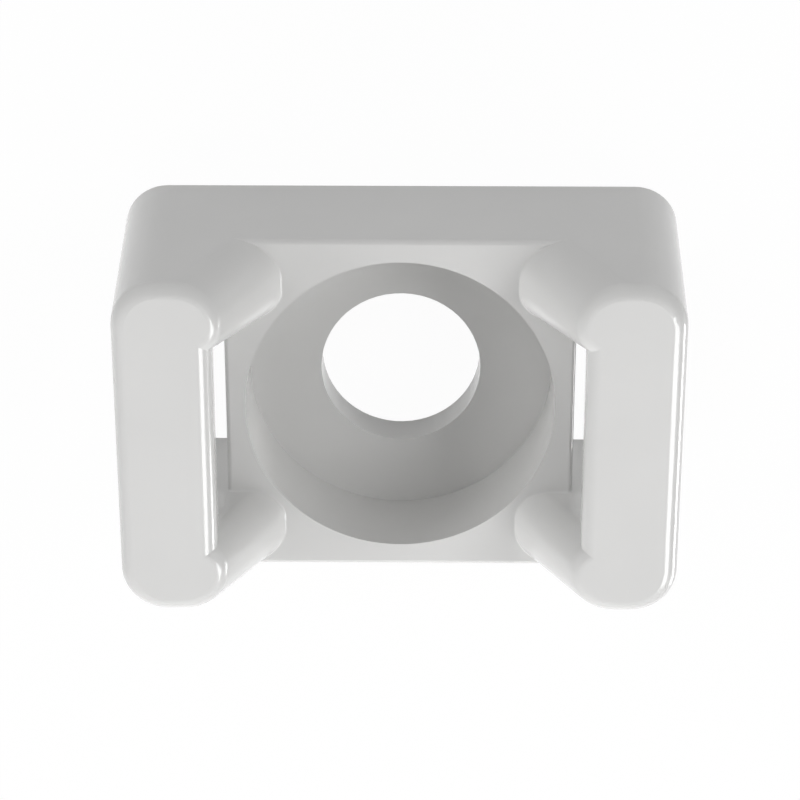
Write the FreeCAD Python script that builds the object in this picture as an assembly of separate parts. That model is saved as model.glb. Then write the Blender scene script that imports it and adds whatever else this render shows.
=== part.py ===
import FreeCAD, Part
import math
import os

# One moulded cable tie mount, in millimetres.
# X runs along the length, from one end bar to the other.
# Y runs across the width, along the way a cable lies.
# Z is up; the base lies on Z = 0 and the screw hole's axis is X = Y = 0.

# Overall block; the draft is the lean of every moulded side, in degrees
length = 22.0
height = 9.75
draft_angle = 2.0
corner_radius = 1.75

# Centre block that carries the screw; both walls are measured at the floor
floor_height = 5.48
recess_diameter = 12.1
side_wall = 0.885
end_wall = 0.75
plate_thickness = 1.65
screw_diameter = 6.0
screw_clearance = 0.4

# Tie slot, measured at the base; it narrows upwards
slot_width = 8.0

# Four legs that rise from the floor to the end bars:
# the gap between two legs at the floor, the foot's distance from the recess's rim,
# and how far the leg's end stands before the bar's inner face at the top
leg_gap = 7.44
leg_rim_clearance = 0.325
leg_head_step = 0.24

# A leg's rounded edges, and the least flat left between them
leg_outer_radius = 1.7
leg_inner_radius = 1.2
leg_flat = 0.02

# How far short of the block's rounded corner the leg's own form ends
leg_root_margin = 0.2

# End bars, with the tie's way under them;
# the setback is from the centre block's end to the bar's inner face at the top
bar_setback = 0.15
bar_thickness = 1.7
arch_corner_radius = 0.8

# Edge roundings
top_edge_radius = 0.54
floor_edge_radius = 0.18
crease_radius = 0.08

# How far inside the side walls the fillets at the legs' feet stop
crease_stop_margin = 0.3

# How far a joining piece reaches into its neighbour, or a cutting body past the face it opens
overrun = 1.0

# Two places closer than this are the same place
near = 0.001


def slope():
    """Sideways run of a moulded face for each unit of height."""
    return math.tan(math.radians(draft_angle))


def block_half_length():
    """Half the centre block's length, at the floor."""
    return 0.5 * recess_diameter + end_wall


def floor_half_width():
    """Half the outer width, at the floor."""
    return 0.5 * recess_diameter + side_wall


def outer_x(z):
    """Half the outer length at height z."""
    return 0.5 * length - z * slope()


def outer_y(z):
    """Half the outer width at height z."""
    return floor_half_width() + (floor_height - z) * slope()


def block_side_x(z):
    """Where the tie slot's inner side stands at height z; the slot narrows upwards."""
    return block_half_length() - (floor_height - z) * slope()


def slot_side_y(z):
    """Half the tie slot's width at height z."""
    return 0.5 * slot_width - z * slope()


def leg_inner_y(z):
    """Where the leg's inner face stands at height z; the gap opens upwards."""
    return 0.5 * leg_gap + (z - floor_height) * slope()


def bar_face_x(z):
    """Where the bar's inner face stands at height z."""
    return block_half_length() + bar_setback + (height - z) * slope()


def leg_share():
    """How much of the two roundings the leg's wall has room for at the top."""
    wall = outer_y(height) - leg_inner_y(height) - leg_flat
    return min(1.0, wall / (leg_outer_radius + leg_inner_radius))


def inner_rounding():
    """Radius of the leg's rounded edge on the side of the cable's way."""
    return leg_share() * leg_inner_radius


def outer_rounding():
    """Radius of the leg's rounded edge on the outer side; it ends inside the leg's seat."""
    room = leg_seat_x() - leg_head_x() - leg_flat
    return min(leg_share() * leg_outer_radius, room / math.hypot(1.0, leg_lean()))


def leg_seat_x():
    """Where the leg's place in the end block ends, short of the block's rounded corner."""
    return outer_x(height) - corner_radius - leg_root_margin


def leg_head_x():
    """Where the leg's end stands at the top, a little before the bar's inner face."""
    return bar_face_x(height) - leg_head_step


def leg_foot_x():
    """Where the leg's end stands on the floor, clear of the recess's rim."""
    inner = inner_rounding()
    reach = 0.5 * recess_diameter + leg_rim_clearance + inner
    return math.sqrt(reach ** 2 - (leg_inner_y(floor_height) + inner) ** 2) - inner


def leg_lean():
    """Run of the leg's end face along the length for each unit of height."""
    return (leg_head_x() - leg_foot_x()) / (height - floor_height)


def leg_end_x(z):
    """Where the leg's leaning end face stands at height z."""
    return leg_head_x() + leg_lean() * (z - height)


def at(value):
    """A side that stands upright at one coordinate."""
    return lambda z: value


def minus(side):
    """The mirrored side."""
    return lambda z: -side(z)


def leaning_block(x_from, x_to, y_from, y_to, z_from, z_to):
    """A block whose sides lean; each side is a function of the height."""
    def ring(z):
        corners = [(x_from, y_from), (x_to, y_from), (x_to, y_to), (x_from, y_to)]
        return [FreeCAD.Vector(x(z), y(z), z) for x, y in corners]

    low = ring(z_from)
    high = ring(z_to)
    rings = [low[::-1], high]
    for i in range(4):
        j = (i + 1) % 4
        rings.append([low[i], low[j], high[j], high[i]])
    faces = [Part.Face(Part.makePolygon(r + [r[0]])) for r in rings]
    solid = Part.Solid(Part.Shell(faces))
    if solid.Volume < 0:
        solid.reverse()
    return solid


def edges_where(shape, test):
    """The edges whose middle point passes the test."""
    chosen = []
    for edge in shape.Edges:
        middle = edge.valueAt(0.5 * (edge.FirstParameter + edge.LastParameter))
        if test(middle, edge):
            chosen.append(edge)
    return chosen


def on_floor(point):
    """True for a point at the floor's height."""
    return abs(point.z - floor_height) < near


def on_top(point):
    """True for a point at the full height."""
    return abs(point.z - height) < near


def mirrored(shape, across_x, across_y):
    """A copy mirrored left to right, front to back, or both."""
    origin = FreeCAD.Vector(0, 0, 0)
    if across_x:
        shape = shape.mirror(origin, FreeCAD.Vector(1, 0, 0))
    if across_y:
        shape = shape.mirror(origin, FreeCAD.Vector(0, 1, 0))
    return shape


def envelope():
    """The outside of the whole mount, with its upright corners rounded."""
    block = leaning_block(minus(outer_x), outer_x, minus(outer_y), outer_y, 0.0, height)
    uprights = edges_where(block, lambda m, e: 0.1 * height < m.z < 0.9 * height)
    return block.makeFillet(corner_radius, uprights)


def base_slab():
    """The whole mount's lower part, up to a little under the floor."""
    slab_height = floor_height - 0.5 * overrun
    corner = FreeCAD.Vector(-length, -length, 0)
    return envelope().common(Part.makeBox(2 * length, 2 * length, slab_height, corner))


def leg_seat():
    """The corner of the end block at +X, +Y whose place the leg takes."""
    middle_y = at(leg_inner_y(height) + inner_rounding())
    return leaning_block(at(0.0), at(leg_seat_x()), middle_y, at(length), 0.0, height + overrun)


def end_block():
    """The end at +X beyond the bar's inner face, with its top edges rounded."""
    side = at(2 * floor_half_width())
    foot = floor_height - overrun
    beyond = leaning_block(bar_face_x, at(length), minus(side), side, foot, height)
    block = envelope().common(beyond)
    block = block.makeFillet(top_edge_radius, edges_where(block, lambda m, e: on_top(m)))
    for across_y in (False, True):
        block = block.cut(mirrored(leg_seat(), False, across_y))
    return block


def leg():
    """The leg at +X, +Y: a leaning post, rounded at its inner end and its top, rooted in the end block."""
    foot = floor_height - overrun
    root_x = leg_seat_x() + 0.5 * leg_root_margin
    post = leaning_block(leg_end_x, at(root_x), leg_inner_y, outer_y, foot, height)
    middle_z = 0.5 * (foot + height)

    def on_end(m, side):
        at_middle = abs(m.z - middle_z) < near
        return at_middle and abs(m.x - leg_end_x(m.z)) < near and abs(m.y - side(m.z)) < near

    post = post.makeFillet(outer_rounding(), edges_where(post, lambda m, e: on_end(m, outer_y)))
    post = post.makeFillet(inner_rounding(), edges_where(post, lambda m, e: on_end(m, leg_inner_y)))
    top = edges_where(post, lambda m, e: on_top(m) and m.x < root_x - near)
    return post.makeFillet(top_edge_radius, top)


def plate_half_width():
    """The floor plate stops a little inside the outer faces."""
    return floor_half_width() - crease_stop_margin


def floor_plate():
    """The top layer of the centre block, with its two cross edges rounded."""
    half_x = block_half_length()
    half_y = plate_half_width()
    corner = FreeCAD.Vector(-half_x, -half_y, floor_height - overrun)
    plate = Part.makeBox(2 * half_x, 2 * half_y, overrun, corner)
    cross = edges_where(plate, lambda m, e: on_floor(m) and abs(abs(m.x) - half_x) < near)
    return plate.makeFillet(floor_edge_radius, cross)


def legs_on_plate():
    """The four legs standing on the floor plate, with a small fillet at each foot."""
    legs = [mirrored(leg(), x, y) for x in (False, True) for y in (False, True)]
    joined = floor_plate().fuse(legs).removeSplitter()
    limit_x = block_half_length() - floor_edge_radius - near
    limit_y = plate_half_width() - near

    def is_crease(m, edge):
        flat = all(on_floor(v.Point) for v in edge.Vertexes) and on_floor(m)
        return flat and abs(m.x) < limit_x and abs(m.y) < limit_y

    return joined.makeFillet(crease_radius, edges_where(joined, is_crease))


def rail():
    """The strip of side wall at +Y beside the floor, with its outer top edge rounded."""
    half_x = block_half_length()
    inside = at(plate_half_width() - crease_stop_margin)
    strip = leaning_block(at(-half_x), at(half_x), inside, outer_y, floor_height - overrun, floor_height)
    edge_y = floor_half_width()
    outer = edges_where(strip, lambda m, e: on_floor(m) and abs(m.y - edge_y) < near)
    return strip.makeFillet(floor_edge_radius, outer)


def tie_way():
    """The slot at +X, open at the base and the end face, and arched under the bar."""
    roof = height - bar_thickness
    outside = at(0.5 * length + overrun)
    way = leaning_block(block_side_x, outside, minus(slot_side_y), slot_side_y, -overrun, roof)
    half = slot_side_y(roof)
    corners = edges_where(way, lambda m, e: abs(m.z - roof) < near and abs(abs(m.y) - half) < near)
    return way.makeFillet(arch_corner_radius, corners)


def screw_cut():
    """The head recess and the screw hole below it."""
    hole_radius = 0.5 * (screw_diameter + screw_clearance)
    recess = Part.makeCylinder(0.5 * recess_diameter, height, FreeCAD.Vector(0, 0, plate_thickness))
    hole = Part.makeCylinder(hole_radius, height + overrun, FreeCAD.Vector(0, 0, -overrun))
    return recess.fuse(hole)


def single_solid(shape):
    """The one solid of a shape, or an error if there are more."""
    if len(shape.Solids) != 1:
        raise ValueError("expected one solid, found %d" % len(shape.Solids))
    return shape.Solids[0]


def mount():
    """The finished moulding; the recess's rim and the hole's edges stay sharp."""
    pieces = [base_slab()]
    pieces += [mirrored(end_block(), x, False) for x in (False, True)]
    pieces += [mirrored(rail(), False, y) for y in (False, True)]
    body = legs_on_plate().fuse(pieces).removeSplitter()
    for across_x in (False, True):
        body = body.cut(mirrored(tie_way(), across_x, False))
    return single_solid(body.cut(screw_cut()).removeSplitter())


def main():
    os.makedirs("parts", exist_ok=True)
    mount().exportStep("parts/tie_mount.step")


main()
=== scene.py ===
import math

import bpy
from mathutils import Matrix, Vector


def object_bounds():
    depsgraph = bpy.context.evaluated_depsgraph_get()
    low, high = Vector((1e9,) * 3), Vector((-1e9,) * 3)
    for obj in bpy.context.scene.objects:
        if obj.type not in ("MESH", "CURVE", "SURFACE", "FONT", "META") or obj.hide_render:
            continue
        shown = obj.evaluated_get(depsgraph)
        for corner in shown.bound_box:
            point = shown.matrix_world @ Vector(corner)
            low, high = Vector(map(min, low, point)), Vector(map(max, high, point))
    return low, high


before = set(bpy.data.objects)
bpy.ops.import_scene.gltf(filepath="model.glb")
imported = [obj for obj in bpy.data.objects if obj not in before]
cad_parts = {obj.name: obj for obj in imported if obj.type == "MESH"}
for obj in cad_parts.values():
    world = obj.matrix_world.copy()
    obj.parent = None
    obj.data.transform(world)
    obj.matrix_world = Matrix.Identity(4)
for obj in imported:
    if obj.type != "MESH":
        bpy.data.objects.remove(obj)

bl_info = {
    "name": "Cable tie mount dressing",
    "version": (1, 0, 0),
    "blender": (4, 5, 0),
    "location": "View3D > Sidebar > Tie mount",
    "description": "Moulded finish, studio and camera for a screw-down cable tie mount",
    "category": "Object",
}

MM = 0.001
PICTURE_SIDE = 800
SENSOR_WIDTH = 36.0
CAD_LOW, CAD_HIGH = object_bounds()
MOUNT_MIDDLE = Vector((0.0, 0.0, 0.5 * CAD_HIGH.z))


class MountFinish(bpy.types.PropertyGroup):
    """The moulded plastic's colour and surface."""

    colour: bpy.props.FloatVectorProperty(
        name="Plastic colour",
        description="Colour of the natural nylon, linear",
        default=(0.702, 0.700, 0.692),
        min=0.0,
        max=1.0,
        size=3,
        subtype="COLOR",
    )
    cloud_depth: bpy.props.FloatProperty(
        name="Cloud depth",
        description="How far the colour wanders from its mean where the melt has cooled unevenly",
        default=0.018,
        min=0.0,
        max=0.2,
        subtype="FACTOR",
    )
    cloud_size: bpy.props.FloatProperty(
        name="Cloud size",
        description="Breadth of the faint clouds in the colour",
        default=4.5 * MM,
        subtype="DISTANCE",
        unit="LENGTH",
    )
    roughness: bpy.props.FloatProperty(
        name="Roughness",
        description="How dull the moulded skin is on the whole",
        default=0.16,
        min=0.0,
        max=1.0,
        subtype="FACTOR",
    )
    roughness_spread: bpy.props.FloatProperty(
        name="Roughness spread",
        description="How far the dullness wanders from place to place",
        default=0.03,
        min=0.0,
        max=0.5,
        subtype="FACTOR",
    )
    skin_size: bpy.props.FloatProperty(
        name="Skin patch size",
        description="Breadth of the patches in the skin's dullness",
        default=0.8 * MM,
        subtype="DISTANCE",
        unit="LENGTH",
    )
    grain_size: bpy.props.FloatProperty(
        name="Grain size",
        description="Breadth of the fine grain that the mould's steel leaves",
        default=0.12 * MM,
        subtype="DISTANCE",
        unit="LENGTH",
    )
    grain_depth: bpy.props.FloatProperty(
        name="Grain depth",
        description="Height of the fine grain",
        default=0.0006 * MM,
        subtype="DISTANCE",
        unit="LENGTH",
    )


class StudioLight(bpy.types.PropertyGroup):
    """The room, the table and the soft panels."""

    panel_distance: bpy.props.FloatProperty(
        name="Panel distance",
        description="From the middle of the mount to each soft panel",
        default=350.0 * MM,
        subtype="DISTANCE",
        unit="LENGTH",
    )
    panel_width: bpy.props.FloatProperty(
        name="Panel width",
        description="Width of each soft panel",
        default=160.0 * MM,
        subtype="DISTANCE",
        unit="LENGTH",
    )
    panel_height: bpy.props.FloatProperty(
        name="Panel height",
        description="Height of each soft panel",
        default=120.0 * MM,
        subtype="DISTANCE",
        unit="LENGTH",
    )
    room_in_gloss: bpy.props.FloatProperty(
        name="Room in reflections",
        description="How bright the room is where the plastic mirrors it; white is one",
        default=0.35,
        min=0.0,
        max=1.0,
        subtype="FACTOR",
    )
    table_half_side: bpy.props.FloatProperty(
        name="Table half side",
        description="From the middle of the table to its edge",
        default=400.0 * MM,
        subtype="DISTANCE",
        unit="LENGTH",
    )
    table_paper: bpy.props.FloatProperty(
        name="Table paper",
        description="Share of the table's look that is plain white; the rest keeps the mount's shadow",
        default=0.96,
        min=0.0,
        max=1.0,
        subtype="FACTOR",
    )
    table_seen: bpy.props.FloatProperty(
        name="Table as seen",
        description="Grey of the table for the camera and in reflections",
        default=0.95,
        min=0.0,
        max=1.0,
        subtype="FACTOR",
    )
    table_bounce: bpy.props.FloatProperty(
        name="Table bounce",
        description="Grey of the table for the light that it throws back at the mount",
        default=0.32,
        min=0.0,
        max=1.0,
        subtype="FACTOR",
    )


class CameraPlace(bpy.types.PropertyGroup):
    """The camera's place, turn and framing."""

    elevation: bpy.props.FloatProperty(
        name="Camera elevation",
        description="How far above the horizon the camera stands",
        default=math.radians(65.2146),
        subtype="ANGLE",
        unit="ROTATION",
    )
    yaw: bpy.props.FloatProperty(
        name="Camera yaw",
        description="Turn of the camera about the screw hole's axis",
        default=math.radians(-1.1258),
        subtype="ANGLE",
        unit="ROTATION",
    )
    roll: bpy.props.FloatProperty(
        name="Camera roll",
        description="Turn of the picture about the view's own axis",
        default=math.radians(-1.2609),
        subtype="ANGLE",
        unit="ROTATION",
    )
    distance: bpy.props.FloatProperty(
        name="Camera distance",
        description="From the point that the camera aims at to the camera",
        default=106.351 * MM,
        subtype="DISTANCE",
        unit="LENGTH",
    )
    aim: bpy.props.FloatVectorProperty(
        name="Camera aim",
        description="The point that the camera aims at, from the middle of the mount",
        default=(-0.0072 * MM, 0.0129 * MM, 0.0),
        size=3,
        subtype="TRANSLATION",
        unit="LENGTH",
    )
    focal_pixels: bpy.props.FloatProperty(
        name="Focal length in pixels",
        description="Focal length as a count of the picture's pixels",
        default=2714.87,
    )


def cloud_noise(tree, place, size, detail):
    """A cloudy value around one half whose spots have the given breadth."""
    noise = tree.nodes.new("ShaderNodeTexNoise")
    noise.inputs["Scale"].default_value = 1.0 / size
    noise.inputs["Detail"].default_value = detail
    tree.links.new(place, noise.inputs["Vector"])
    return noise.outputs["Fac"]


def spread_over(tree, value, low, high):
    """The noise's usual range, a quarter to three quarters, laid over low to high."""
    ranged = tree.nodes.new("ShaderNodeMapRange")
    ranged.inputs["From Min"].default_value = 0.25
    ranged.inputs["From Max"].default_value = 0.75
    ranged.inputs["To Min"].default_value = low
    ranged.inputs["To Max"].default_value = high
    tree.links.new(value, ranged.inputs["Value"])
    return ranged.outputs["Result"]


def live_socket(sockets, name):
    """The socket of that name that the node's present setting uses."""
    return next(socket for socket in sockets if socket.name == name and socket.enabled)


def mount_material(finish):
    """Natural nylon as moulded: faint clouds in the colour, a satin skin and the mould's fine grain."""
    material = bpy.data.materials.new("nylon_as_moulded")
    material.use_nodes = True
    tree = material.node_tree
    shader = tree.nodes["Principled BSDF"]
    place = tree.nodes.new("ShaderNodeTexCoord").outputs["Object"]

    clouds = spread_over(tree, cloud_noise(tree, place, finish.cloud_size, 3.0), 0.0, 1.0)
    colour = tree.nodes.new("ShaderNodeMix")
    colour.data_type = "RGBA"
    for socket, share in (("A", 1.0 - finish.cloud_depth), ("B", 1.0 + finish.cloud_depth)):
        live_socket(colour.inputs, socket).default_value = (*[share * part for part in finish.colour], 1.0)
    tree.links.new(clouds, live_socket(colour.inputs, "Factor"))
    tree.links.new(live_socket(colour.outputs, "Result"), shader.inputs["Base Color"])

    low, high = finish.roughness - finish.roughness_spread, finish.roughness + finish.roughness_spread
    skin = cloud_noise(tree, place, finish.skin_size, 4.0)
    tree.links.new(spread_over(tree, skin, low, high), shader.inputs["Roughness"])

    bump = tree.nodes.new("ShaderNodeBump")
    bump.inputs["Strength"].default_value = 1.0
    bump.inputs["Distance"].default_value = finish.grain_depth
    tree.links.new(cloud_noise(tree, place, finish.grain_size, 2.0), bump.inputs["Height"])
    tree.links.new(bump.outputs["Normal"], shader.inputs["Normal"])
    return material


class OBJECT_OT_dress_mount(bpy.types.Operator):
    """Give the moulded mount its plastic."""

    bl_idname = "tie_mount.dress_mount"
    bl_label = "Dress the mount"

    def execute(self, context):
        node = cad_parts["tie_mount"]
        node.data.materials.clear()
        node.data.materials.append(mount_material(context.scene.mount_finish))
        return {"FINISHED"}


def around_mount(bearing, rise, distance):
    """A place seen from the mount's middle at a bearing, a height above the horizon and a distance."""
    b, r = math.radians(bearing), math.radians(rise)
    way = Vector((math.cos(b) * math.cos(r), math.sin(b) * math.cos(r), math.sin(r)))
    return MOUNT_MIDDLE + distance * way


def soft_light(name, place, wide, tall, watts):
    """A flat rectangular light that faces the mount."""
    lamp = bpy.data.lights.new(name, "AREA")
    lamp.shape = "RECTANGLE"
    lamp.size = wide
    lamp.size_y = tall
    lamp.energy = watts
    holder = bpy.data.objects.new(name, lamp)
    bpy.context.scene.collection.objects.link(holder)
    holder.rotation_mode = "QUATERNION"
    holder.rotation_quaternion = (place - MOUNT_MIDDLE).to_track_quat("Z", "Y")
    holder.location = place
    return holder


# The soft panels around the mount, a row for each task: its name, its height above the horizon
# in degrees, each panel's bearing from +X towards +Y in degrees, and the watts of one panel
PANEL_ROWS = (
    ("behind", 19.0, (-135, -105, -75, -45), 0.33),
    ("front", 19.0, (45, 135), 0.20),
    ("left", 32.0, (180,), 0.27),
    ("key", 47.0, (15,), 0.35),
    ("fill", 47.0, (-30, 105, 150), 0.12),
    ("top", 66.0, (-120,), 0.05),
)

# Two small bright strips, which show only as lines of light along rounded edges:
# name, bearing, height above the horizon, then distance, width and height in metres, and watts
STRIPS = (
    ("upper_strip", -43.0, 52.0, 0.350, 0.140, 0.150, 0.58),
    ("lower_strip", -24.0, 1.6, 0.060, 0.036, 0.013, 0.021),
)


def soft_panels(light):
    """The panels that light the mount softly; the plastic doesn't mirror them."""
    for row, rise, bearings, watts in PANEL_ROWS:
        for bearing in bearings:
            name = "%s_panel_%d" % (row, bearing % 360)
            place = around_mount(bearing, rise, light.panel_distance)
            panel = soft_light(name, place, light.panel_width, light.panel_height, watts)
            panel.visible_glossy = False


def bright_strips():
    """The strips that are only seen mirrored in the plastic."""
    for name, bearing, rise, distance, wide, tall, watts in STRIPS:
        strip = soft_light(name, around_mount(bearing, rise, distance), wide, tall, watts)
        strip.visible_diffuse = False
        strip.visible_camera = False


def seen_or_mirrored(tree):
    """One for rays from the camera and for mirrored rays, zero for the others."""
    path = tree.nodes.new("ShaderNodeLightPath")
    seen = tree.nodes.new("ShaderNodeMath")
    seen.operation = "MAXIMUM"
    tree.links.new(path.outputs["Is Camera Ray"], seen.inputs[0])
    tree.links.new(path.outputs["Is Glossy Ray"], seen.inputs[1])
    return seen.outputs[0]


def white_room(in_gloss):
    """A world that is white for the camera, soft grey in reflections, and lights nothing."""
    world = bpy.data.worlds.new("white_room")
    world.use_nodes = True
    tree = world.node_tree
    background = tree.nodes["Background"]
    background.inputs["Color"].default_value = (1.0, 1.0, 1.0, 1.0)
    path = tree.nodes.new("ShaderNodeLightPath")
    strength = tree.nodes.new("ShaderNodeMath")
    strength.operation = "MULTIPLY_ADD"
    tree.links.new(path.outputs["Is Glossy Ray"], strength.inputs[0])
    strength.inputs[1].default_value = in_gloss
    tree.links.new(path.outputs["Is Camera Ray"], strength.inputs[2])
    tree.links.new(strength.outputs[0], background.inputs["Strength"])
    return world


def table_material(light):
    """A table that looks like white paper with the mount's faint shadow on it, and throws back less light."""
    material = bpy.data.materials.new("white_table")
    material.use_nodes = True
    tree = material.node_tree
    shader = tree.nodes["Principled BSDF"]
    shader.inputs["Roughness"].default_value = 0.9
    seen = seen_or_mirrored(tree)

    colour = tree.nodes.new("ShaderNodeMix")
    colour.data_type = "RGBA"
    for socket, grey in (("A", light.table_bounce), ("B", light.table_seen)):
        live_socket(colour.inputs, socket).default_value = (grey, grey, grey, 1.0)
    tree.links.new(seen, live_socket(colour.inputs, "Factor"))
    tree.links.new(live_socket(colour.outputs, "Result"), shader.inputs["Base Color"])

    glow = tree.nodes.new("ShaderNodeEmission")
    glow.inputs["Strength"].default_value = 1.0
    share = tree.nodes.new("ShaderNodeMath")
    share.operation = "MULTIPLY"
    share.inputs[1].default_value = light.table_paper
    tree.links.new(seen, share.inputs[0])
    mix = tree.nodes.new("ShaderNodeMixShader")
    tree.links.new(share.outputs[0], mix.inputs["Fac"])
    tree.links.new(shader.outputs[0], mix.inputs[1])
    tree.links.new(glow.outputs[0], mix.inputs[2])
    tree.links.new(mix.outputs[0], tree.nodes["Material Output"].inputs["Surface"])
    return material


def table_top(light):
    """A square table under the mount."""
    half = light.table_half_side
    corners = [(-half, -half, 0.0), (half, -half, 0.0), (half, half, 0.0), (-half, half, 0.0)]
    mesh = bpy.data.meshes.new("table_top")
    mesh.from_pydata(corners, [], [(0, 1, 2, 3)])
    mesh.materials.append(table_material(light))
    floor = bpy.data.objects.new("table_top", mesh)
    bpy.context.scene.collection.objects.link(floor)


def photo_camera(view):
    """A camera with the photograph's place, turn and framing."""
    e = view.elevation
    turn = Matrix.Rotation(view.yaw, 3, "Z")
    back = turn @ Vector((0.0, math.cos(e), math.sin(e)))
    up = turn @ Vector((0.0, math.sin(e), -math.cos(e)))
    right = turn @ Vector((1.0, 0.0, 0.0))
    c, s = math.cos(view.roll), math.sin(view.roll)
    right, up = c * right - s * up, s * right + c * up
    data = bpy.data.cameras.new("photo_camera")
    data.sensor_fit = "HORIZONTAL"
    data.sensor_width = SENSOR_WIDTH
    data.lens = view.focal_pixels * data.sensor_width / PICTURE_SIDE
    data.clip_start = 0.001
    data.clip_end = 10.0
    camera = bpy.data.objects.new("photo_camera", data)
    bpy.context.scene.collection.objects.link(camera)
    place = MOUNT_MIDDLE + Vector(view.aim) + view.distance * back
    axes = Matrix((right, up, back)).transposed().to_4x4()
    camera.matrix_world = Matrix.Translation(place) @ axes
    bpy.context.scene.camera = camera


class OBJECT_OT_set_stage(bpy.types.Operator):
    """Set up the floor, the lights, the world and the camera."""

    bl_idname = "tie_mount.set_stage"
    bl_label = "Set the stage"

    def execute(self, context):
        scene = context.scene
        scene.view_settings.view_transform = "Standard"
        scene.world = white_room(scene.studio_light.room_in_gloss)
        table_top(scene.studio_light)
        soft_panels(scene.studio_light)
        bright_strips()
        photo_camera(scene.camera_place)
        return {"FINISHED"}


class VIEW3D_PT_tie_mount(bpy.types.Panel):
    """Lists the steps that dress the mount, and their settings."""

    bl_idname = "VIEW3D_PT_tie_mount"
    bl_label = "Tie mount"
    bl_space_type = "VIEW_3D"
    bl_region_type = "UI"
    bl_category = "Tie mount"

    def draw(self, context):
        for step in STEPS:
            self.layout.operator(step.bl_idname)
        for holder, settings in SETTINGS.items():
            for name in settings.__annotations__:
                self.layout.prop(getattr(context.scene, holder), name)


STEPS = (OBJECT_OT_dress_mount, OBJECT_OT_set_stage)
SETTINGS = {"mount_finish": MountFinish, "studio_light": StudioLight, "camera_place": CameraPlace}
CLASSES = (*SETTINGS.values(), *STEPS, VIEW3D_PT_tie_mount)


def register():
    for each in CLASSES:
        bpy.utils.register_class(each)
    for holder, settings in SETTINGS.items():
        setattr(bpy.types.Scene, holder, bpy.props.PointerProperty(type=settings))


def unregister():
    for holder in SETTINGS:
        delattr(bpy.types.Scene, holder)
    for each in reversed(CLASSES):
        bpy.utils.unregister_class(each)


def main():
    register()
    bpy.ops.tie_mount.dress_mount()
    bpy.ops.tie_mount.set_stage()


if __name__ == "__main__":
    main()
